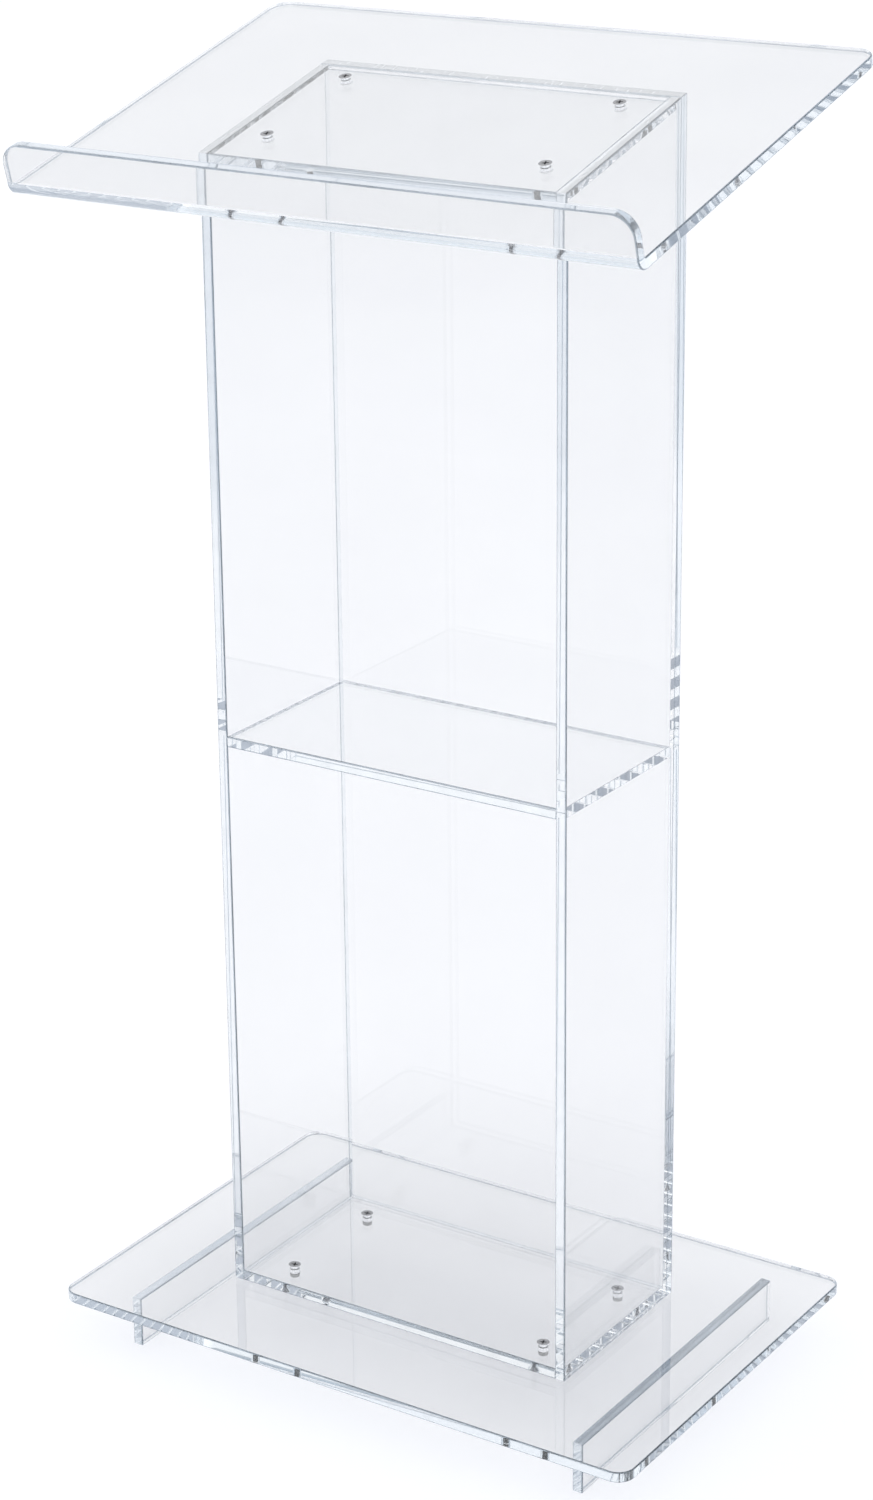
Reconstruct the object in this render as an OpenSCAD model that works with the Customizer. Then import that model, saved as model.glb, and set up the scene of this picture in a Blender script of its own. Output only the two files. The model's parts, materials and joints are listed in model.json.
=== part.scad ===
// Free-standing presentation lectern of clear acrylic sheet, taken apart into its real pieces.
//
// Frame: X runs across the lectern, -Y is the presenter's side, +Y the audience's side, Z is up.
// The origin is on the floor under the middle of the base plate.
// A three-sided column, open to the presenter, stands on a base plate with two runners below.
// A sheet with a bent-up book ledge lies on the sloping top of the column.
// Four screws hold the reading top to the column, and four hold the column to the base.

/* [Sheet] */
// Thickness of every acrylic sheet
sheet_t = 10; // [8:1:12]

/* [Base] */
// Width of the base plate
base_w = 600; // [500:10:800]
// Depth of the base plate, front to back
base_d = 400; // [340:10:560]
// Corner radius of the base plate
base_r = 16; // [5:1:40]
// Height of the two runners below the base plate
runner_h = 42; // [25:1:80]
// Length of a runner, front to back
runner_len = 340; // [220:10:340]
// Distance between the middles of the two runners
runner_gap = 472; // [372:4:476]

/* [Column] */
// Outer width of the column
column_w = 356; // [340:2:440]
// Outer depth of the column, back panel included
column_d = 190; // [180:2:240]
// Height of the shelf's upper face above the floor
shelf_z = 587; // [300:1:800]

/* [Reading top] */
// Highest point of the lectern, the rear edge of the reading top
overall_h = 1181; // [1000:1:1300]
// Slope of the reading surface in degrees
slope = 15; // [8:1:22]
// Width of the reading top
top_w = 600; // [480:10:800]
// Length of the reading surface along its slope, behind the ledge
top_len = 394; // [340:2:460]
// How far the foot of the ledge stands in front of the column's middle
top_reach = 187; // [160:1:210]
// Height of the book ledge above the reading surface
ledge_h = 38; // [30:1:60]
// Inner radius of the hot bend between surface and ledge
bend_r = 2; // [1:0.5:5]
// Corner radius at the rear of the reading top
top_r = 18; // [5:1:40]
// Corner radius at the ends of the ledge
ledge_r = 20; // [5:1:24]

/* [Fasteners] */
// Nominal diameter of the countersunk screws
screw_d = 6; // [5:0.5:6]
// Diameter of a screw's head
head_d = 11.3; // [10:0.1:12]
// Outer diameter of a threaded insert
insert_d = 9; // [8:0.5:10]
// Length of the inserts in the column's top plate
top_insert_len = 8; // [5:1:8]
// Length of the inserts in the base plate, which stand out below it
base_insert_len = 14; // [10:1:16]
// Distance between the screws across the lectern
screw_span_x = 270; // [200:2:270]
// Distance between the screws, front to back
screw_span_y = 120; // [100:2:130]

/* [Hidden] */
$fn = 64;
eps = 0.01;
acrylic = [0.86, 0.89, 0.94, 0.45];
steel = [0.78, 0.79, 0.81];
nickel = [0.70, 0.69, 0.66];

// Levels up the lectern
plate_z = runner_h + sheet_t;           // upper face of the base plate
floor_z = plate_z + sheet_t;            // upper face of the column's bottom plate

// Column
front_y = -column_d / 2;
back_y = column_d / 2 - sheet_t;        // inner face of the back panel
inner_w = column_w - 2 * sheet_t;
inner_d = column_d - sheet_t;

// Reading top: its own frame starts where surface and ledge would meet, Y up the slope
fold_y = -top_reach;
fold_z = overall_h - top_len * sin(slope);

// Height of a plane parallel to the reading surface, lying d below it, at depth y
function slope_z(y, d) = fold_z + (y - fold_y) * tan(slope) - d / cos(slope);

// Distance up the slope of a point at depth y that lies d below the reading surface
function slope_s(y, d) = (y - fold_y - d * sin(slope)) / cos(slope);

// Fasteners
clear_d = screw_d + 0.6;                // clearance hole
bore_d = screw_d + 0.1;                 // threaded bore of an insert, without its thread
head_land = 0.5;                        // straight rim of a screw's head
cone_h = (head_d - screw_d) / 2;        // 90 degree cone under the head
end_gap = 0.5;                          // a screw stops this far inside its insert
top_screw_len = sheet_t + top_insert_len - end_gap;
base_screw_len = sheet_t + base_insert_len - end_gap;
recess_w = 1.3;                         // cross recess in a screw's head
recess_span = 6;
recess_h = 2.2;
recess_turn = 20;

// Row (-1 front, 1 rear) and side (-1 left, 1 right) of the four screws in each group
PLACES = [for (row = [-1, 1], side = [-1, 1]) [row, side]];

// Name of one fastener's node, such as top_screw_front_left
function at_place(kind, p) =
    str(kind, p[0] < 0 ? "_front" : "_rear", p[1] < 0 ? "_left" : "_right");

// ---------- placing ----------

// Puts children in the reading top's sloping frame
module on_slope() {
    translate([0, fold_y, fold_z]) rotate([slope, 0, 0]) children();
}

// Puts children at one top screw: row is -1 front or 1 rear, side is -1 left or 1 right
module at_top_screw(row, side) {
    on_slope()
        translate([side * screw_span_x / 2, slope_s(0, 0) + row * screw_span_y / 2, 0]) children();
}

// Puts children at one base screw, on the upper face of the column's bottom plate
module at_base_screw(row, side) {
    translate([side * screw_span_x / 2, row * screw_span_y / 2, floor_z]) children();
}

// ---------- shapes ----------

// Flat rectangle with rounded corners, middle at the origin
module rounded_rect(w, d, r) {
    square([w - 2 * r, d], center = true);
    square([w, d - 2 * r], center = true);
    for (x = [-1, 1], y = [-1, 1])
        translate([x * (w / 2 - r), y * (d / 2 - r)]) circle(r);
}

// Flat rectangle that starts at Y = 0, with its two far corners rounded
module tongue(w, d, r) {
    translate([-w / 2, 0]) square([w, d - r]);
    translate([r - w / 2, 0]) square([w - 2 * r, d]);
    for (x = [-1, 1])
        translate([x * (w / 2 - r), d - r]) circle(r);
}

// Hole for a countersunk screw, cut down from the upper face of a sheet
module countersunk_hole() {
    translate([0, 0, -sheet_t - eps]) cylinder(d = clear_d, h = sheet_t + 2 * eps);
    translate([0, 0, -head_land]) cylinder(d = head_d, h = head_land + eps);
    translate([0, 0, -head_land - cone_h]) cylinder(d1 = screw_d, d2 = head_d, h = cone_h);
}

// Countersunk screw with a cross recess, its head's face at Z = 0
module countersunk_screw(len) {
    color(steel) difference() {
        union() {
            translate([0, 0, -len]) cylinder(d = screw_d, h = len - head_land - cone_h);
            translate([0, 0, -head_land - cone_h]) cylinder(d1 = screw_d, d2 = head_d, h = cone_h);
            translate([0, 0, -head_land]) cylinder(d = head_d, h = head_land);
        }
        for (a = [0, 90])
            rotate([0, 0, a + recess_turn]) translate([-recess_span / 2, -recess_w / 2, -recess_h])
                cube([recess_span, recess_w, recess_h + eps]);
    }
}

// Threaded insert, its upper end at Z = 0
module insert_tube(len) {
    color(nickel) translate([0, 0, -len]) difference() {
        cylinder(d = insert_d, h = len);
        translate([0, 0, -eps]) cylinder(d = bore_d, h = len + 2 * eps);
    }
}

// ---------- acrylic pieces ----------

// Reading surface and book ledge, bent from one sheet
module reading_top() {
    color(acrylic) difference() {
        on_slope() {
            translate([0, bend_r, -sheet_t]) linear_extrude(sheet_t)
                tongue(top_w, top_len - bend_r, top_r);
            translate([0, 0, bend_r]) rotate([90, 0, 0]) linear_extrude(sheet_t)
                tongue(top_w, ledge_h - bend_r, ledge_r);
            translate([-top_w / 2, bend_r, bend_r]) rotate([90, 0, 90]) linear_extrude(top_w)
                intersection() {
                    difference() {
                        circle(bend_r + sheet_t);
                        circle(bend_r);
                    }
                    translate([-bend_r - sheet_t, -bend_r - sheet_t])
                        square(bend_r + sheet_t);
                }
        }
        for (row = [-1, 1], side = [-1, 1])
            at_top_screw(row, side) countersunk_hole();
    }
}

// Sloping plate between the side panels, under the reading top
module column_top_plate() {
    start_s = slope_s(front_y, sheet_t);
    end_s = slope_s(back_y, 2 * sheet_t);
    color(acrylic) difference() {
        on_slope() translate([-inner_w / 2, start_s, -2 * sheet_t])
            cube([inner_w, end_s - start_s, sheet_t]);
        for (row = [-1, 1], side = [-1, 1])
            at_top_screw(row, side) translate([0, 0, -sheet_t - top_insert_len])
                cylinder(d = insert_d, h = top_insert_len + eps);
    }
}

// Side panel with its top cut to the slope, its outer face towards side -1 or 1
module side_panel(side) {
    outline = [
        [front_y, plate_z],
        [back_y, plate_z],
        [back_y, slope_z(back_y, sheet_t)],
        [front_y, slope_z(front_y, sheet_t)]
    ];
    color(acrylic) translate([side * (column_w - sheet_t) / 2 - sheet_t / 2, 0, 0])
        rotate([90, 0, 90]) linear_extrude(sheet_t) polygon(outline);
}

module left_side_panel() { side_panel(-1); }
module right_side_panel() { side_panel(1); }

// Full-width panel on the audience's side, its top edge cut to the slope
module back_panel() {
    rear_y = back_y + sheet_t;
    outline = [
        [back_y, plate_z],
        [rear_y, plate_z],
        [rear_y, slope_z(rear_y, sheet_t)],
        [back_y, slope_z(back_y, sheet_t)]
    ];
    color(acrylic) translate([-column_w / 2, 0, 0])
        rotate([90, 0, 90]) linear_extrude(column_w) polygon(outline);
}

// Shelf between the side panels
module shelf() {
    color(acrylic) translate([-inner_w / 2, front_y, shelf_z - sheet_t])
        cube([inner_w, inner_d, sheet_t]);
}

// Plate at the foot of the column, between the side panels
module column_bottom_plate() {
    color(acrylic) difference() {
        translate([-inner_w / 2, front_y, plate_z]) cube([inner_w, inner_d, sheet_t]);
        for (row = [-1, 1], side = [-1, 1])
            at_base_screw(row, side) countersunk_hole();
    }
}

module base_plate() {
    color(acrylic) difference() {
        translate([0, 0, runner_h]) linear_extrude(sheet_t) rounded_rect(base_w, base_d, base_r);
        for (row = [-1, 1], side = [-1, 1])
            at_base_screw(row, side) translate([0, 0, -2 * sheet_t - eps])
                cylinder(d = insert_d, h = sheet_t + 2 * eps);
    }
}

// Board on edge under the base plate, front to back
module runner(side) {
    color(acrylic) translate([side * runner_gap / 2 - sheet_t / 2, -runner_len / 2, 0])
        cube([sheet_t, runner_len, runner_h]);
}

module left_runner() { runner(-1); }
module right_runner() { runner(1); }

// ---------- fasteners ----------

module top_screw(row, side) {
    at_top_screw(row, side) countersunk_screw(top_screw_len);
}

module top_insert(row, side) {
    at_top_screw(row, side) translate([0, 0, -sheet_t]) insert_tube(top_insert_len);
}

module base_screw(row, side) {
    at_base_screw(row, side) countersunk_screw(base_screw_len);
}

module base_insert(row, side) {
    at_base_screw(row, side) translate([0, 0, -sheet_t]) insert_tube(base_insert_len);
}

reading_top();
column_top_plate();
left_side_panel();
right_side_panel();
back_panel();
shelf();
column_bottom_plate();
base_plate();
left_runner();
right_runner();
for (p = PLACES) {
    top_screw(p[0], p[1]);
    top_insert(p[0], p[1]);
    base_screw(p[0], p[1]);
    base_insert(p[0], p[1]);
}
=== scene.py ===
"""Clear acrylic presentation lectern: polished sheet, steel screws and plated inserts."""

import json
import math

import bmesh
import bpy
from mathutils import Matrix, Vector


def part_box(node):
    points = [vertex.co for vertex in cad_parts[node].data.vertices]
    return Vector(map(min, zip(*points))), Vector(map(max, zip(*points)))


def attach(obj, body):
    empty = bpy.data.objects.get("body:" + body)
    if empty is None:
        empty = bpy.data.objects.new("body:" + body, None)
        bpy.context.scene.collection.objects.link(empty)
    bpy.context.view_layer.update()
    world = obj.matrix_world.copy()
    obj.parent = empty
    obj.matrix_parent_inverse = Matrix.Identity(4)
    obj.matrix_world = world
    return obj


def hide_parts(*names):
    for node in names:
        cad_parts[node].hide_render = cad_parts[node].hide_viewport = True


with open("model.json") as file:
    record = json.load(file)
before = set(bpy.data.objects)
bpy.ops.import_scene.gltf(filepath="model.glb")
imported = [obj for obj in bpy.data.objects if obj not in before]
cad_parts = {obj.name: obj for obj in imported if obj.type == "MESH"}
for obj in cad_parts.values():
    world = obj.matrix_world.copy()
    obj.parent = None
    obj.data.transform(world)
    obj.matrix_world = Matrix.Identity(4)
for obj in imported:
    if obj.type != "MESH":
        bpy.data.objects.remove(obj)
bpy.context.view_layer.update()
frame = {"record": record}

MM = 0.001

# Camera, in metres and degrees
LENS = 84.1
SENSOR = 36.0
SHIFT = (0.0201, -0.0244)
AZIMUTH = 33.73
ELEVATION = 19.41
ROLL = -0.76
DISTANCE = 3.054
AIM = (-0.033, -0.014, 0.609)
CLIP_END = 200  # past the far edge of the floor

# Studio: colours of the sky by height, and (direction, near and far cosine, shade) of its gaps
SKY = [
    (0.00, (0.44, 0.50, 0.56)),
    (0.14, (0.52, 0.57, 0.62)),
    (0.28, (0.70, 0.72, 0.75)),
    (0.42, (0.74, 0.75, 0.77)),
    (0.75, (0.83, 0.84, 0.85)),
    (0.92, (0.97, 0.97, 0.98)),
]
SKY_STRENGTH = 1.59
GREY_GAPS = [
    ((-0.52, -0.78, 0.33), 0.98, 0.86, (0.34, 0.37, 0.42)),
    ((0.52, -0.78, 0.33), 0.98, 0.86, (0.50, 0.53, 0.57)),
    ((0.52, 0.78, 0.33), 0.98, 0.86, (0.46, 0.49, 0.54)),
    ((-0.52, 0.78, 0.33), 0.985, 0.90, (0.93, 0.93, 0.93)),
    ((-0.51, 0.50, 0.70), 0.97, 0.87, (0.88, 0.88, 0.88)),
]

# Floor, in metres
FLOOR_HALF = 60.0  # from its middle to each side
FLOOR_CELLS = 12  # along each side
FLOOR_DROP = 0.2 * MM  # keeps it off the runners' lower edges
FLOOR_SHADES = [(0.3, (0.86, 0.86, 0.875)), (0.7, (0.88, 0.88, 0.89))]
UNLIT = (0.52, 0.57, 0.63)  # its darker colour
UNLIT_ASIDE = (-0.05, 0.35)  # starts and is full this much further along X than along Y
UNLIT_AWAY = (3.4, 4.5)  # starts and is full this far off, along X and Y added up
UNLIT_AWAY_SHARE = 0.4

# Floor seen through the sheets: (distance from the lectern, shade)
BACKDROP_REACH = 10.0
BACKDROP = [(0.3, 0.88), (0.6, 0.96), (3.6, 0.94), (6.0, 0.86)]

# Sheet work
GAP = 0.05 * MM  # air left on a sheet where another meets it
ARRIS = 1.2 * MM  # rounding between a face and a flame-polished edge
ARRIS_STEPS = 4
WELD_ARRIS = 0.26 * MM  # the same along a welded edge
CORNER = 0.6 * MM  # rounding of a panel's square corners
SHARP = 0.05 * MM  # smallest radius of any corner
SAME = 0.001 * MM  # heights this close count as one
SQUARE_ON = 0.9999  # least cosine between a flat face and the way it looks
WELD_IN = 0.4 * MM  # a weld stops this far inside the edge it joins
RIM_IN = ARRIS + 0.1 * MM  # the same where the other sheet's free edge is
BEND_R = 2 * MM  # inner radius of the hot bend
TOP_R = 18 * MM  # corners at the rear of the reading top
LEDGE_R = 20 * MM  # corners at the ends of the ledge
BASE_R = 16 * MM  # corners of the base plate
ARC_STEPS = 20  # pieces of a large quarter arc
CORNER_STEPS = 3  # pieces of a small one
BEND_STEPS = 20

# Fasteners
SCREW_R = 3 * MM
HEAD_R = 5.6 * MM
HEAD_LAND = 0.5 * MM
HEAD_ROUND = (0.25 * MM, 0.12 * MM)  # the head's rounded rim, inwards and down
CLEAR_R = 3.3 * MM
HOLE_ARRIS = 0.35 * MM  # chamfer where a screw leaves its hole
PITCH = 1 * MM
PITCH_STEPS = 6  # rings of a thread to one pitch
THREAD_DEPTH = 0.55 * MM
SHANK = 0.5 * MM  # plain length between head and thread
THREAD_START = 0.6 * MM  # below the head's cone
THREAD_STOP = 0.8 * MM  # above the screw's end
POINT_H = 0.5 * MM
POINT_SHARES = (0.86, 0.72)  # of the screw's radius, where its point starts and ends
SCREW_END_GAP = 0.5 * MM  # a screw stops this far inside its insert
SCREW_STEPS = 32
RECESS_TURNS = (20, 110)  # degrees, of the two wings of the cross
RECESS_SECTIONS = (  # height, half length and half width of a wing, above the head and at its foot
    (0.3 * MM, 3.2 * MM, 0.72 * MM),
    (-2.4 * MM, 1.2 * MM, 0.42 * MM),
)
INSERT_R = 4.5 * MM
BORE_R = 3.05 * MM
BORE_CHAMFER = 0.3 * MM
END_CHAMFER = 0.35 * MM  # height of the steep part of an insert's lead-in
END_IN = 0.1 * MM  # how far inside its side that part stops
WAIST = 0.5 * MM  # depth of an insert's groove and of its ends
WAIST_HALF = 0.7 * MM  # half the groove's height, less its slopes
WAIST_SLOPE = 0.2 * MM
KNURL_DEPTH = 0.28 * MM
KNURL_TEETH = 24
INSERT_STEPS = 96
HOLE_STEPS = 64


# ---------- camera, floor and light ----------


def make_camera():
    azimuth, elevation, roll = map(math.radians, (AZIMUTH, ELEVATION, ROLL))
    back = Vector(
        (
            math.sin(azimuth) * math.cos(elevation),
            -math.cos(azimuth) * math.cos(elevation),
            math.sin(elevation),
        )
    )
    right = Vector((math.cos(azimuth), math.sin(azimuth), 0))
    up = back.cross(right)
    right, up = (
        right * math.cos(roll) + up * math.sin(roll),
        up * math.cos(roll) - right * math.sin(roll),
    )
    data = bpy.data.cameras.new("camera")
    data.lens = LENS
    data.sensor_width = SENSOR
    data.sensor_fit = "AUTO"
    data.shift_x, data.shift_y = SHIFT
    data.clip_end = CLIP_END
    camera = bpy.data.objects.new("camera", data)
    matrix = Matrix((right, up, back)).transposed().to_4x4()
    matrix.translation = Vector(AIM) + back * DISTANCE
    camera.matrix_world = matrix
    bpy.context.scene.collection.objects.link(camera)
    bpy.context.scene.camera = camera


# ---------- node helpers ----------


def new_material(name):
    material = bpy.data.materials.new(name)
    material.use_nodes = True
    tree = material.node_tree
    return material, tree, tree.nodes["Principled BSDF"]


def add(tree, kind, **values):
    """A new node, its named inputs or properties set."""
    node = tree.nodes.new(kind)
    for key, value in values.items():
        if key in node.inputs:
            node.inputs[key].default_value = value
        else:
            setattr(node, key, value)
    return node


def ramp(tree, source, stops):
    """A colour ramp on source; stops are (place, grey or colour)."""
    node = tree.nodes.new("ShaderNodeValToRGB")
    elements = node.color_ramp.elements
    while len(elements) < len(stops):
        elements.new(0.5)
    for element, (place, value) in zip(elements, stops):
        element.position = place
        colour = value if isinstance(value, tuple) else (value,) * 3
        element.color = (*colour, 1)
    tree.links.new(source, node.inputs["Fac"])
    return node.outputs["Color"]


def remap(tree, value, low, high, to_low=0.0, to_high=1.0, kind="LINEAR"):
    """Maps a value from one range to another."""
    node = add(tree, "ShaderNodeMapRange", interpolation_type=kind)
    keys = ("From Min", "From Max", "To Min", "To Max")
    for key, number in zip(keys, (low, high, to_low, to_high)):
        node.inputs[key].default_value = number
    tree.links.new(value, node.inputs["Value"])
    return node.outputs["Result"]


def math_node(tree, operation, *values):
    """A Math node on sockets or numbers."""
    node = add(tree, "ShaderNodeMath", operation=operation)
    for socket, value in zip(node.inputs, values):
        if isinstance(value, float):
            socket.default_value = value
        else:
            tree.links.new(value, socket)
    return node.outputs["Value"]


def mix_colours(tree, share, first, second, blend="MIX"):
    """Blends a second colour, or the colour of a socket, into the first."""
    node = add(tree, "ShaderNodeMix", data_type="RGBA", blend_type=blend)
    before, after = node.inputs[6:8]
    tree.links.new(share, node.inputs["Factor"])
    tree.links.new(first, before)
    if isinstance(second, tuple):
        after.default_value = (*second, 1)
    else:
        tree.links.new(second, after)
    return node.outputs[2]


def object_place(tree):
    return tree.nodes.new("ShaderNodeTexCoord").outputs["Object"]


def noise(tree, place, scale, detail=2.0, roughness=0.5):
    node = add(tree, "ShaderNodeTexNoise", Scale=scale, Detail=detail, Roughness=roughness)
    tree.links.new(place, node.inputs["Vector"])
    return node.outputs["Fac"]


def uneven(tree, shader, height, strength, distance):
    """Bumps on a shader's surface, up to a distance in metres."""
    bump = add(tree, "ShaderNodeBump", Strength=strength, Distance=distance)
    tree.links.new(height, bump.inputs["Height"])
    tree.links.new(bump.outputs["Normal"], shader.inputs["Normal"])


# ---------- materials ----------


IOR = 1.49
SHADOW_TINT = (0.959, 0.960, 0.963)  # what each surface leaves of the light on its way to the floor


def let_light_through(tree, surface):
    """Lets the light that the floor gathers pass straight through a clear surface."""
    link = tree.links.new
    clear = tree.nodes.new("ShaderNodeBsdfTransparent")
    clear.inputs["Color"].default_value = (*SHADOW_TINT, 1)
    path = tree.nodes.new("ShaderNodeLightPath")
    for kind in ("Is Diffuse Ray", "Is Shadow Ray"):
        lit = tree.nodes.new("ShaderNodeMixShader")
        link(path.outputs[kind], lit.inputs["Fac"])
        link(surface, lit.inputs[1])
        link(clear.outputs["BSDF"], lit.inputs[2])
        surface = lit.outputs["Shader"]
    link(surface, tree.nodes["Material Output"].inputs["Surface"])


def clear_material(name, tint, rough, height, stretch, clear=1.0, vary=0.985):
    """Clear acrylic. tint colours what is seen through it, down to vary times as much, rough gives
    its least and greatest roughness and height its waves in metres, all in a noise stretched by
    stretch; clear is the share of light that isn't scattered."""
    material, tree, shader = new_material(name)
    link = tree.links.new
    shader.inputs["Transmission Weight"].default_value = clear
    shader.inputs["IOR"].default_value = IOR
    drawn = add(tree, "ShaderNodeMapping", vector_type="POINT")
    drawn.inputs["Scale"].default_value = stretch
    link(object_place(tree), drawn.inputs["Vector"])
    marks = noise(tree, drawn.outputs["Vector"], 1.0, 3.0, 0.6)
    shades = [(0.35, tint), (0.75, tuple(c * vary for c in tint))]
    link(ramp(tree, marks, shades), shader.inputs["Base Color"])
    link(remap(tree, marks, 0.45, 0.8, *rough), shader.inputs["Roughness"])
    uneven(tree, shader, marks, 1.0, height)
    let_light_through(tree, shader.outputs["BSDF"])
    return material


def bond_material():
    """A solvent-welded joint face: the two sheets are one, apart from faint streaks."""
    material, tree, shader = new_material("welded_joint")
    link = tree.links.new
    tree.nodes.remove(shader)
    streaks = noise(tree, object_place(tree), 60.0)
    clear = tree.nodes.new("ShaderNodeBsdfTransparent")
    link(ramp(tree, streaks, [(0.3, 0.97), (0.6, 1.0)]), clear.inputs["Color"])
    link(clear.outputs["BSDF"], tree.nodes["Material Output"].inputs["Surface"])
    return material


def metal_material(name, colour, low, high, scale):
    """Plated metal with fine uneven polish between two roughnesses."""
    material, tree, shader = new_material(name)
    link = tree.links.new
    shader.inputs["Metallic"].default_value = 1
    grain = noise(tree, object_place(tree), scale, 4.0, 0.6)
    shades = [(0.3, tuple(0.86 * c for c in colour)), (0.7, colour)]
    link(ramp(tree, grain, shades), shader.inputs["Base Color"])
    link(remap(tree, grain, 0.0, 1.0, low, high), shader.inputs["Roughness"])
    uneven(tree, shader, grain, 0.2, 0.05 * MM)
    return material


def unlit_share(tree, place):
    """Share of the darker colour: full to both sides of the lectern, and some of it far off. It
    counts only for rays mirrored inside the sheets, so the floor itself stays pale."""
    parts = tree.nodes.new("ShaderNodeSeparateXYZ")
    tree.links.new(place, parts.inputs["Vector"])
    x, y = (math_node(tree, "ABSOLUTE", parts.outputs[axis]) for axis in "XY")
    across, total = (math_node(tree, way, x, y) for way in ("SUBTRACT", "ADD"))
    aside = remap(tree, across, *UNLIT_ASIDE, kind="SMOOTHSTEP")
    away = remap(tree, total, *UNLIT_AWAY, 0.0, UNLIT_AWAY_SHARE, "SMOOTHSTEP")
    dark = math_node(tree, "MAXIMUM", aside, away)
    mirrored = tree.nodes.new("ShaderNodeLightPath").outputs["Glossy Depth"]
    return math_node(tree, "MULTIPLY", dark, math_node(tree, "GREATER_THAN", mirrored, 1.5))


def seen_through(tree):
    """1 for rays that reach the floor straight through the sheets: as in a cut-out photograph, it
    is white round the lectern and a light grey behind its sheets."""
    path = tree.nodes.new("ShaderNodeLightPath")
    through = math_node(tree, "GREATER_THAN", path.outputs["Transmission Depth"], 0.5)
    direct = math_node(tree, "LESS_THAN", path.outputs["Glossy Depth"], 0.5)
    return math_node(tree, "MULTIPLY", through, direct)


def backdrop_shade(tree, place):
    """The grey that is seen through the sheets, by distance from the lectern."""
    distance = add(tree, "ShaderNodeVectorMath", operation="LENGTH")
    tree.links.new(place, distance.inputs[0])
    share = math_node(tree, "DIVIDE", distance.outputs["Value"], BACKDROP_REACH)
    return ramp(tree, share, [(reach / BACKDROP_REACH, shade) for reach, shade in BACKDROP])


def floor_material():
    material, tree, shader = new_material("studio_floor")
    shader.inputs["Roughness"].default_value = 0.75
    shader.inputs["Specular IOR Level"].default_value = 0.2
    place = object_place(tree)
    pale = ramp(tree, noise(tree, place, 1.5), FLOOR_SHADES)
    colour = mix_colours(tree, unlit_share(tree, place), pale, UNLIT)
    shade = backdrop_shade(tree, place)
    colour = mix_colours(tree, seen_through(tree), colour, shade, "MULTIPLY")
    tree.links.new(colour, shader.inputs["Base Color"])
    return material


FACE, EDGE, RIM, SAWN, BOND = range(5)  # material slots of every acrylic piece
ACRYLIC = (
    clear_material("clear_acrylic", (0.955, 0.956, 0.958), (0, 0.004), 0.002 * MM, (9, 9, 9)),
    clear_material("polished_edge", (0.86, 0.90, 0.93), (0, 0.01), 0.002 * MM, (20, 20, 20)),
    # RIM, the rounded bands along every edge: its dark grey-blue tint, patchy along its length, is
    # painted shade for the dark lines that refraction draws along a polished edge
    clear_material("painted_shade_rim", (0.32, 0.38, 0.44), (0, 0.02), 0.004 * MM, (9, 9, 9), vary=0.4),
    clear_material("sawn_edge", (0.93, 0.94, 0.95), (0.15, 0.4), 0.05 * MM, (300, 40, 40), 0.45),
    bond_material(),
)
STEEL = metal_material("screw_steel", (0.36, 0.36, 0.37), 0.12, 0.3, 900.0)
DARK = metal_material("recess_shadow", (0.05, 0.05, 0.055), 0.3, 0.5, 900.0)
RECESS = 1  # material slot of a screw's recess, whose material is DARK
NICKEL = metal_material("insert_nickel", (0.19, 0.187, 0.183), 0.2, 0.4, 700.0)


# ---------- stage ----------


def make_floor():
    mesh = bpy.data.meshes.new("floor")
    bm = bmesh.new()
    bmesh.ops.create_grid(bm, x_segments=FLOOR_CELLS, y_segments=FLOOR_CELLS, size=FLOOR_HALF)
    bmesh.ops.translate(bm, verts=bm.verts, vec=(0, 0, -FLOOR_DROP))
    bm.to_mesh(mesh)
    bm.free()
    floor = bpy.data.objects.new("floor", mesh)
    bpy.context.scene.collection.objects.link(floor)
    floor.data.materials.append(floor_material())


def facing(tree, way, direction, near, far):
    """1 where the world lies in a direction, falling to 0; near and far are cosines."""
    aim = Vector(direction).normalized()
    dot = add(tree, "ShaderNodeVectorMath", operation="DOT_PRODUCT")
    dot.inputs[1].default_value = aim
    tree.links.new(way, dot.inputs[0])
    return remap(tree, dot.outputs["Value"], far, near, kind="SMOOTHSTEP")


def make_world():
    """A white studio: bluish towards the horizon, brightest overhead, with a few grey gaps."""
    world = bpy.data.worlds.new("studio")
    world.use_nodes = True
    tree = world.node_tree
    link = tree.links.new
    background = tree.nodes["Background"]
    way = tree.nodes.new("ShaderNodeTexCoord").outputs["Generated"]
    parts = tree.nodes.new("ShaderNodeSeparateXYZ")
    link(way, parts.inputs["Vector"])
    colour = ramp(tree, parts.outputs["Z"], SKY)
    for direction, near, far, shade in GREY_GAPS:
        share = facing(tree, way, direction, near, far)
        colour = mix_colours(tree, share, colour, shade, "MULTIPLY")
    link(colour, background.inputs["Color"])
    background.inputs["Strength"].default_value = SKY_STRENGTH
    bpy.context.scene.world = world


# ---------- flat shapes ----------


def inward(corners, insets):
    """The polygon with each side moved in by its own inset; side 0 starts at corner 0."""
    moved = []
    for i, corner in enumerate(corners):
        before = (corner - corners[i - 1]).normalized()
        after = (corners[(i + 1) % len(corners)] - corner).normalized()
        sine = before.cross(after)
        cosine = before.dot(after)
        normal = Vector((-before.y, before.x))
        slide = (insets[i - 1] * cosine - insets[i]) / sine
        moved.append(corner + normal * insets[i - 1] + before * slide)
    return moved


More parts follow.
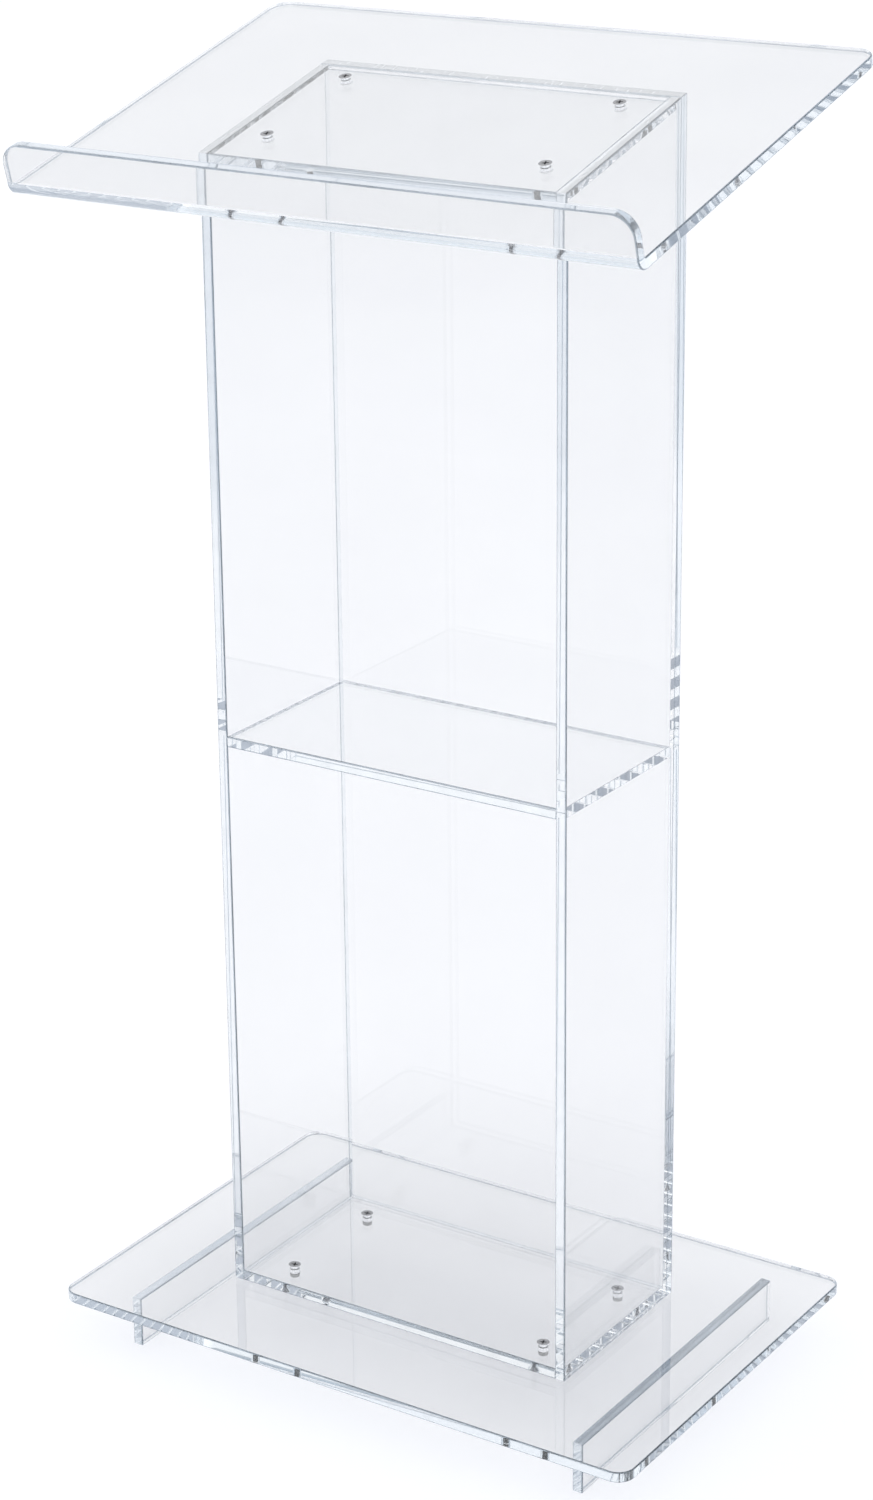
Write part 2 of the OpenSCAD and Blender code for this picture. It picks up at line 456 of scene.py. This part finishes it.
def rounded(corners, radii, steps, insets):
    """Outline of a convex polygon, counter-clockwise, its sides moved in by their insets and
    each corner an arc of so many steps."""
    loop = []
    moved = inward(corners, insets)
    for i, corner in enumerate(moved):
        before = (corner - moved[i - 1]).normalized()
        after = (moved[(i + 1) % len(moved)] - corner).normalized()
        normal_a = Vector((-before.y, before.x))
        normal_b = Vector((-after.y, after.x))
        radius = max(radii[i] - max(insets[i - 1], insets[i]), SHARP)
        centre = corner + (normal_a + normal_b) * radius / (1 + normal_a.dot(normal_b))
        turn = math.acos(max(-1, min(1, normal_a.dot(normal_b))))
        for step in range(steps[i] + 1):
            angle = turn * step / steps[i]
            across = normal_a * math.cos(angle) + Vector((-normal_a.y, normal_a.x)) * math.sin(angle)
            loop.append(centre - across * radius)
    return loop


def rectangle(x0, y0, x1, y1):
    return [Vector(p) for p in ((x0, y0), (x1, y0), (x1, y1), (x0, y1))]


def rim_inset(radius, depth):
    """How far a rounded edge lies inside its side, so deep below the sheet's face."""
    rise = max(0.0, 1 - depth / radius)
    return radius * (1 - math.sqrt(1 - rise * rise))


def square_edged(corners, welded=()):
    """Outline, by depth, of a panel whose corners are hardly rounded; welded numbers the sides
    that are welded to another sheet."""
    count = len(corners)
    rims = [WELD_ARRIS if side in welded else ARRIS for side in range(count)]
    return lambda depth: rounded(
        corners, [CORNER] * count, [CORNER_STEPS] * count, [rim_inset(r, depth) for r in rims]
    )


def round_cornered(corners, radii):
    """Outline, by depth, of a sheet with large round corners."""
    return lambda depth: rounded(corners, radii, [ARC_STEPS] * 4, [rim_inset(ARRIS, depth)] * 4)


def with_rows(loop, rows):
    """The loop with a point wherever it crosses one of the heights in rows."""
    result = []
    for i, point in enumerate(loop):
        result.append(point)
        after = loop[(i + 1) % len(loop)]
        low, high = sorted((point.y, after.y))
        crossed = [row for row in rows if low + SAME / 10 < row < high - SAME / 10]
        for row in sorted(crossed, reverse=after.y < point.y):
            share = (row - point.y) / (after.y - point.y)
            result.append(point.lerp(after, share))
    return result


# ---------- solid shapes ----------


def ring(bm, points, depth):
    return [bm.verts.new((p.x, p.y, depth)) for p in points]


def wall(bm, upper, lower, index=FACE):
    """A band of faces between two rings."""
    count = len(upper)
    for i in range(count):
        j = (i + 1) % count
        face = bm.faces.new((upper[i], lower[i], lower[j], upper[j]))
        face.material_index = index


def circle(centre, radius):
    angles = [2 * math.pi * k / HOLE_STEPS for k in range(HOLE_STEPS)]
    return [centre + radius * Vector((math.cos(a), math.sin(a))) for a in angles]


def edges_between(bm, loop):
    return [bm.edges.get((loop[i - 1], loop[i])) for i in range(len(loop))]


def fill(bm, edges, holes):
    """Triangulates what lies inside the edges and outside the holes."""
    for hole in holes:
        edges = edges + edges_between(bm, hole)
    bmesh.ops.triangle_fill(bm, use_beauty=True, use_dissolve=False, edges=edges)


def fill_cap(bm, loop, holes, rows):
    """Closes a loop, leaving its holes open. rows are the heights at which the sheet may bend;
    every hole lies above the last."""
    rim = edges_between(bm, loop)
    if not rows:
        fill(bm, rim, holes)
        return
    pairs = []
    for row in rows:
        level = sorted((v for v in loop if abs(v.co.y - row) < SAME), key=lambda v: v.co.x)
        pairs.append((level[0], level[-1]))
    for (left_a, right_a), (left_b, right_b) in zip(pairs, pairs[1:]):
        bm.faces.new((left_a, right_a, right_b, left_b))
    below = [e for e in rim if all(v.co.y <= rows[0] + SAME for v in e.verts)]
    above = [e for e in rim if all(v.co.y >= rows[-1] - SAME for v in e.verts)]
    fill(bm, below + [bm.edges.get(pairs[0])], ())
    fill(bm, above + [bm.edges.get(pairs[-1])], holes)


def welds(bm, outlines, depth):
    """Faces of a cap that are welded to another sheet; gives their loops."""
    loops = [ring(bm, outline, depth) for outline in outlines]
    for loop in loops:
        bm.faces.new(loop).material_index = BOND
    return loops


def sheet_mesh(outline, thickness, holes=(), rows=(), welded_above=(), welded_below=()):
    """A sheet with its upper face at z = 0. outline(depth) gives its shape, and a hole is
    (centre, [(depth, radius), ...]), drilled right through if its last depth is the sheet's."""
    bm = bmesh.new()
    loops = []
    rim = [ARRIS * (1 - math.cos(math.pi / 2 * k / ARRIS_STEPS)) for k in range(ARRIS_STEPS + 1)]
    levels = [(-depth, depth) for depth in rim]
    levels += [(depth - thickness, depth) for depth in reversed(rim)]
    for height, depth in levels:
        loops.append(ring(bm, with_rows(outline(depth), rows), height))
    for i, (upper, lower) in enumerate(zip(loops, loops[1:])):
        # the rounded bands take RIM, a tint darkened as painted shade; the flat edge between them
        # takes EDGE
        wall(bm, upper, lower, EDGE if i == ARRIS_STEPS else RIM)
    mouths = welds(bm, welded_above, 0)
    exits = welds(bm, welded_below, -thickness)
    for centre, profile in holes:
        rings = [ring(bm, circle(centre, radius), -depth) for depth, radius in profile]
        for upper, lower in zip(rings, rings[1:]):
            wall(bm, lower, upper)
        mouths.append(rings[0])
        if profile[-1][0] >= thickness:
            exits.append(rings[-1])
        else:
            bm.faces.new(rings[-1])
    fill_cap(bm, loops[0], mouths, rows)
    fill_cap(bm, loops[-1], exits, rows)
    bmesh.ops.recalc_face_normals(bm, faces=bm.faces)
    return bm


def mark_edges(bm, material, *ways):
    """Gives another material to the flat edges that look one of these local ways."""
    bm.normal_update()
    for face in bm.faces:
        flat = any(face.normal.dot(way) > SQUARE_ON for way in ways)
        if flat and face.material_index in (EDGE, RIM):
            face.material_index = material


def finish_piece(bm, name, place, materials, slot, *nodes, crease=35):
    """Turns a mesh into a piece that stands for its CAD nodes; edges above crease degrees stay
    sharp."""
    bm.transform(place)
    mesh = bpy.data.meshes.new(name)
    bm.to_mesh(mesh)
    bm.free()
    mesh.polygons.foreach_set("use_smooth", [True] * len(mesh.polygons))
    mesh.set_sharp_from_angle(angle=math.radians(crease))
    for material in materials:
        mesh.materials.append(material)
    piece = bpy.data.objects.new(name, mesh)
    bpy.context.scene.collection.objects.link(piece)
    normals = piece.modifiers.new("face_normals", "WEIGHTED_NORMAL")
    normals.keep_sharp = True
    normals.weight = 100
    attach(piece, "root")
    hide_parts(*nodes)
    return piece


# ---------- the lectern's frame ----------

surface = next(m for m in frame["record"]["mounts"] if m["name"] == "reading_surface")
slope = math.atan2(-surface["axis"][1], surface["axis"][2])
surface_y, surface_z = surface["pos_m"][1:]
top_low, top_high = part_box("reading_top")
shelf_low, shelf_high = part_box("shelf")
sheet_t = shelf_high.z - shelf_low.z
SIN, COS, TAN = math.sin(slope), math.cos(slope), math.tan(slope)

# Where surface and ledge would meet: the bend's lowest point gives the height
fold_z = top_low.z + BEND_R + sheet_t - BEND_R * (SIN + COS)
fold_y = surface_y + (fold_z - surface_z) / TAN
ledge_h = (fold_y - sheet_t * COS - top_low.y) / SIN
top_len = (top_high.z - fold_z) / SIN
ON_SLOPE = Matrix.Translation((0, fold_y, fold_z)) @ Matrix.Rotation(slope, 4, "X")

# Local X, Y and Z of a panel on edge become the row's Y, Z and X
ON_EDGE = Matrix(((0, 0, 1, 0), (1, 0, 0, 0), (0, 1, 0, 0), (0, 0, 0, 1)))


def flat_at(z):
    return Matrix.Translation((0, 0, z))


def under_slope(y, depth):
    """Height of the plane that lies so deep below the reading surface."""
    return fold_z + (y - fold_y) * TAN - depth / COS


def middle_of(node):
    low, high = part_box(node)
    return (low + high) / 2


def acrylic_piece(bm, node, place):
    finish_piece(bm, node + "_sheet", place, ACRYLIC, "clear_acrylic", node)


# ---------- acrylic pieces ----------

CORNERS = [(row, side) for row in ("front", "rear") for side in ("left", "right")]


def top_screw_places():
    """Axes of the four top screws, in the sloping frame's X and Y."""
    inverse = ON_SLOPE.inverted()
    return [(inverse @ middle_of(f"top_insert_{row}_{side}")).to_2d() for row, side in CORNERS]


def base_screw_places():
    return [middle_of(f"base_screw_{row}_{side}").to_2d() for row, side in CORNERS]


def top_insert_length(node):
    """Length along its axis, from the height of its tilted box."""
    low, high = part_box(node)
    return (high.z - low.z - 2 * INSERT_R * SIN) / COS


def base_insert_length(node):
    low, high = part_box(node)
    return high.z - low.z


def countersink():
    """Depths and radii of a hole whose screw lies flush."""
    head = HEAD_R + 2 * GAP
    cone_end = HEAD_LAND + head - CLEAR_R
    return [
        (0, head),
        (HEAD_LAND, head),
        (cone_end, CLEAR_R),
        (sheet_t - HOLE_ARRIS, CLEAR_R),
        (sheet_t, CLEAR_R + HOLE_ARRIS),
    ]


def bend_length():
    """Length of the bend, half way through the sheet."""
    middle_r = BEND_R + sheet_t / 2
    return middle_r * math.pi / 2


def bend(point):
    """Maps the flat blank onto the bent sheet: Y = 0 is where the bend ends on the surface."""
    x, y, depth = point
    arc = bend_length()
    radius = BEND_R - depth
    if y >= 0:
        return Vector((x, BEND_R + y, depth))
    if y <= -arc:
        return Vector((x, depth, BEND_R - arc - y))
    angle = math.pi / 2 * (1 + y / arc)
    return Vector((x, BEND_R - radius * math.cos(angle), BEND_R - radius * math.sin(angle)))


def make_reading_top():
    arc = bend_length()
    front = -arc - (ledge_h - BEND_R)
    rear = top_len - BEND_R
    corners = rectangle(top_low.x, front, top_high.x, rear)
    radii = [LEDGE_R, LEDGE_R, TOP_R, TOP_R]
    rows = [-arc * (1 - k / BEND_STEPS) for k in range(BEND_STEPS + 1)]
    holes = [(p - Vector((0, BEND_R)), countersink()) for p in top_screw_places()]
    bm = sheet_mesh(round_cornered(corners, radii), sheet_t, holes, rows)
    for vert in bm.verts:
        vert.co = bend(vert.co)
    acrylic_piece(bm, "reading_top", ON_SLOPE)


X_WAYS = (Vector((1, 0, 0)), Vector((-1, 0, 0)))
Y_WAY = Vector((0, 1, 0))


def top_plate_outline():
    """Start and end of the column's top plate, up the slope."""
    low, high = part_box("column_top_plate")
    start = (low.y - fold_y - sheet_t * SIN) / COS
    end = (high.y - fold_y - 2 * sheet_t * SIN) / COS
    return start, end


def make_top_plate():
    low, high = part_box("column_top_plate")
    start, end = top_plate_outline()
    corners = rectangle(low.x + GAP, start, high.x - GAP, end - GAP)
    reach = top_insert_length("top_insert_front_left")
    blind = [(0, INSERT_R + GAP), (reach, INSERT_R + GAP)]
    holes = [(p, blind) for p in top_screw_places()]
    bm = sheet_mesh(square_edged(corners, (1, 3)), sheet_t - 2 * GAP, holes)
    mark_edges(bm, BOND, *X_WAYS)
    lowered = ON_SLOPE @ Matrix.Translation((0, 0, -sheet_t - GAP))
    acrylic_piece(bm, "column_top_plate", lowered)


def welds_on_side_panel():
    """Where the shelf and the column's top and bottom plates meet a side panel, in Y and Z."""
    result = []
    for node, lift in (("shelf", WELD_IN), ("column_bottom_plate", RIM_IN)):
        low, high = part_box(node)
        result.append(rectangle(low.y + RIM_IN, low.z + lift, high.y - WELD_IN, high.z - WELD_IN))
    start, end = top_plate_outline()
    near, far = start + RIM_IN / COS, end - WELD_IN
    upper, lower = -sheet_t - RIM_IN, -2 * sheet_t + WELD_IN
    slanted = [(near, lower), (far, lower), (far, upper), (near, upper)]
    points = [ON_SLOPE @ Vector((0, along, across)) for along, across in slanted]
    result.append([Vector((point.y, point.z)) for point in points])
    return result


def make_side_panel(node, side):
    """side is -1 for the left panel and 1 for the right one."""
    low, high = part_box(node)
    rear_y = high.y - GAP
    corners = [
        Vector((low.y, low.z + GAP)),
        Vector((rear_y, low.z + GAP)),
        Vector((rear_y, under_slope(rear_y, sheet_t + GAP))),
        Vector((low.y, under_slope(low.y, sheet_t + GAP))),
    ]
    inside = welds_on_side_panel()
    bm = sheet_mesh(
        square_edged(corners, (1,)),
        high.x - low.x,
        welded_above=inside if side < 0 else (),
        welded_below=inside if side > 0 else (),
    )
    mark_edges(bm, BOND, Vector((1, 0, 0)))
    mark_edges(bm, SAWN, Vector((-SIN, COS, 0)))
    acrylic_piece(bm, node, Matrix.Translation((high.x, 0, 0)) @ ON_EDGE)


def make_back_panel():
    """Modelled facing the presenter: its welds are on its inner face, its top cut to the slope."""
    low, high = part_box("back_panel")
    top = under_slope(low.y, sheet_t + GAP)
    corners = rectangle(low.x, low.z + GAP, high.x, top)
    welded = []
    for node in ("left_side_panel", "right_side_panel"):
        side_low, side_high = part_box(node)
        left, right = side_low.x + WELD_IN, side_high.x - WELD_IN
        welded.append(rectangle(left, low.z + RIM_IN, right, top - RIM_IN))
    for node, lift in (("shelf", WELD_IN), ("column_bottom_plate", RIM_IN)):
        plate_low, plate_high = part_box(node)
        left, right = plate_low.x + WELD_IN, plate_high.x - WELD_IN
        welded.append(rectangle(left, plate_low.z + lift, right, plate_high.z - WELD_IN))
    bm = sheet_mesh(square_edged(corners, (1, 3)), high.y - low.y, welded_above=welded)
    mark_edges(bm, SAWN, Y_WAY)
    for vert in bm.verts:
        if vert.co.y > top - 2 * CORNER:
            vert.co.y -= vert.co.z * TAN
    upright = Matrix(((1, 0, 0, 0), (0, 0, -1, low.y), (0, 1, 0, 0), (0, 0, 0, 1)))
    acrylic_piece(bm, "back_panel", upright)


def make_level_plate(node, holes=()):
    """A flat plate between the side panels and the back panel."""
    low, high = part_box(node)
    corners = rectangle(low.x + GAP, low.y, high.x - GAP, high.y - GAP)
    bm = sheet_mesh(square_edged(corners, (1, 2, 3)), high.z - low.z, holes)
    mark_edges(bm, BOND, Y_WAY, *X_WAYS)
    acrylic_piece(bm, node, flat_at(high.z))


def make_base_plate():
    low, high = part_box("base_plate")
    corners = rectangle(low.x, low.y, high.x, high.y)
    thickness = high.z - low.z - 2 * GAP
    through = [(0, INSERT_R + GAP), (thickness, INSERT_R + GAP)]
    holes = [(p, through) for p in base_screw_places()]
    bm = sheet_mesh(round_cornered(corners, [BASE_R] * 4), thickness, holes)
    acrylic_piece(bm, "base_plate", flat_at(high.z - GAP))


def make_runner(node, top_edge):
    """A board on edge, its upper edge of a material of its own: on the right runner the dark RIM
    tint, painted shade along its top.
    """
    low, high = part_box(node)
    corners = rectangle(low.y, low.z, high.y, high.z - GAP)
    bm = sheet_mesh(square_edged(corners), high.x - low.x)
    mark_edges(bm, top_edge, Y_WAY)
    acrylic_piece(bm, node, Matrix.Translation((high.x, 0, 0)) @ ON_EDGE)


# ---------- fasteners ----------


def turned(profile, steps, shape):
    """A side turned round Z from (height, radius) points, from top to bottom. shape gives the
    radius from height, radius and angle."""
    bm = bmesh.new()
    rings = []
    for height, radius in profile:
        loop = []
        for k in range(steps):
            angle = 2 * math.pi * k / steps
            r = shape(height, radius, angle)
            loop.append(bm.verts.new((r * math.cos(angle), r * math.sin(angle), height)))
        rings.append(loop)
    for upper, lower in zip(rings, rings[1:]):
        wall(bm, upper, lower)
    return bm, rings


def threaded_profile(length):
    """Points down a countersunk screw, from its head's rounded rim to its blunt point."""
    cone_end = HEAD_LAND + HEAD_R - SCREW_R
    round_in, round_down = HEAD_ROUND
    start, end = POINT_SHARES
    points = [(0, HEAD_R - round_in), (-round_down, HEAD_R), (-HEAD_LAND, HEAD_R)]
    points.append((-cone_end, SCREW_R))
    height = -cone_end - THREAD_START
    while height > -length + THREAD_STOP:
        points.append((height, SCREW_R))
        height -= PITCH / PITCH_STEPS
    points.append((-length + POINT_H, SCREW_R * start))
    points.append((-length, SCREW_R * end))
    return points


def thread(height, radius, angle):
    """Radius of a screw where a helical thread is cut below its shank."""
    shank_end = HEAD_LAND + HEAD_R - SCREW_R + SHANK
    if height > -shank_end or radius < SCREW_R:
        return radius
    phase = (height / PITCH + angle / (2 * math.pi)) % 1
    return radius - THREAD_DEPTH * abs(2 * phase - 1)


def make_screw(node, place, length):
    bm, rings = turned(threaded_profile(length), SCREW_STEPS, thread)
    bm.faces.new(rings[0])
    bm.faces.new(list(reversed(rings[-1])))
    bmesh.ops.recalc_face_normals(bm, faces=bm.faces)
    body = bpy.data.meshes.new("blank")
    bm.to_mesh(body)
    bm.free()
    for material in (STEEL, DARK):
        body.materials.append(material)
    blank = bpy.data.objects.new("blank", body)
    cutter = recess_cutter()
    for o in (blank, cutter):
        bpy.context.scene.collection.objects.link(o)
    cut = blank.modifiers.new("recess", "BOOLEAN")
    cut.object = cutter
    cut.solver = "EXACT"
    cut.use_self = True
    bpy.context.view_layer.update()
    evaluated = blank.evaluated_get(bpy.context.evaluated_depsgraph_get())
    bm = bmesh.new()
    bm.from_mesh(evaluated.to_mesh())
    for o in (blank, cutter):
        bpy.data.objects.remove(o)
    finish_piece(bm, node + "_steel", place, [STEEL, DARK], "screw_steel", node, crease=40)


def recess_cutter():
    """Cross recess: two crossed wings that narrow and shorten towards the bottom."""
    bm = bmesh.new()
    for turn in RECESS_TURNS:
        loops = []
        for z, half_l, half_w in RECESS_SECTIONS:
            loops.append(ring(bm, rectangle(-half_l, -half_w, half_l, half_w), z))
        wall(bm, loops[0], loops[1], RECESS)
        bm.faces.new(loops[0]).material_index = RECESS
        bm.faces.new(list(reversed(loops[1]))).material_index = RECESS
        verts = loops[0] + loops[1]
        bmesh.ops.rotate(bm, verts=verts, matrix=Matrix.Rotation(math.radians(turn), 3, "Z"))
    bmesh.ops.recalc_face_normals(bm, faces=bm.faces)
    mesh = bpy.data.meshes.new("recess_cutter")
    bm.to_mesh(mesh)
    bm.free()
    return bpy.data.objects.new("recess_cutter", mesh)


def knurl(height, radius, angle):
    """Radius of an insert, its widest bands knurled."""
    if radius < INSERT_R:
        return radius
    return radius - KNURL_DEPTH * (0.5 + 0.5 * math.cos(angle * KNURL_TEETH))


def insert_profile(length):
    """Points down an insert's outside and up its bore: two bands with a groove between them."""
    groove = length / 2
    waist_end = WAIST_HALF + WAIST_SLOPE
    lead = 2 * END_CHAMFER
    return [
        (0, INSERT_R - WAIST),
        (-END_CHAMFER, INSERT_R - END_IN),
        (-lead, INSERT_R),
        (-groove + waist_end, INSERT_R),
        (-groove + WAIST_HALF, INSERT_R - WAIST),
        (-groove - WAIST_HALF, INSERT_R - WAIST),
        (-groove - waist_end, INSERT_R),
        (-length + lead, INSERT_R),
        (-length + END_CHAMFER, INSERT_R - END_IN),
        (-length, INSERT_R - WAIST),
        (-length, BORE_R + BORE_CHAMFER),
        (-length + BORE_CHAMFER, BORE_R),
        (-BORE_CHAMFER, BORE_R),
        (0, BORE_R + BORE_CHAMFER),
    ]


def make_insert(node, place, length):
    bm, rings = turned(insert_profile(length), INSERT_STEPS, knurl)
    wall(bm, rings[-1], rings[0])
    bmesh.ops.recalc_face_normals(bm, faces=bm.faces)
    finish_piece(bm, node + "_nickel", place, [NICKEL], "insert_nickel", node, crease=30)


def make_fasteners():
    """The screws and inserts of the sloping top and of the base, corner by corner."""
    head_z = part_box("column_bottom_plate")[1].z
    below = Matrix.Translation((0, 0, -sheet_t - GAP))
    for (row, side), top, base in zip(CORNERS, top_screw_places(), base_screw_places()):
        corner = f"{row}_{side}"
        top_place = ON_SLOPE @ Matrix.Translation((top.x, top.y, 0))
        base_place = Matrix.Translation((base.x, base.y, head_z))
        top_length = top_insert_length(f"top_insert_{corner}")
        base_length = base_insert_length(f"base_insert_{corner}")
        make_screw(f"top_screw_{corner}", top_place, sheet_t + top_length - SCREW_END_GAP)
        make_screw(f"base_screw_{corner}", base_place, sheet_t + base_length - SCREW_END_GAP)
        make_insert(f"top_insert_{corner}", top_place @ below, top_length - 2 * GAP)
        make_insert(f"base_insert_{corner}", base_place @ below, base_length - 2 * GAP)


# ---------- build ----------

make_camera()
make_world()
make_floor()
make_reading_top()
make_top_plate()
make_side_panel("left_side_panel", -1)
make_side_panel("right_side_panel", 1)
make_back_panel()
make_level_plate("shelf")
make_level_plate("column_bottom_plate", [(p, countersink()) for p in base_screw_places()])
make_base_plate()
make_runner("left_runner", EDGE)
# the right runner's upper edge is darkened with RIM: painted shade for the dark band a contact
# shadow leaves there
make_runner("right_runner", RIM)
make_fasteners()

scene = bpy.context.scene
scene.view_settings.view_transform = "Standard"
scene.cycles.max_bounces = 128
scene.cycles.transmission_bounces = 48
scene.cycles.glossy_bounces = 96
scene.cycles.transparent_max_bounces = 128
scene.cycles.caustics_reflective = False
scene.cycles.caustics_refractive = False
scene.cycles.sample_clamp_indirect = 8
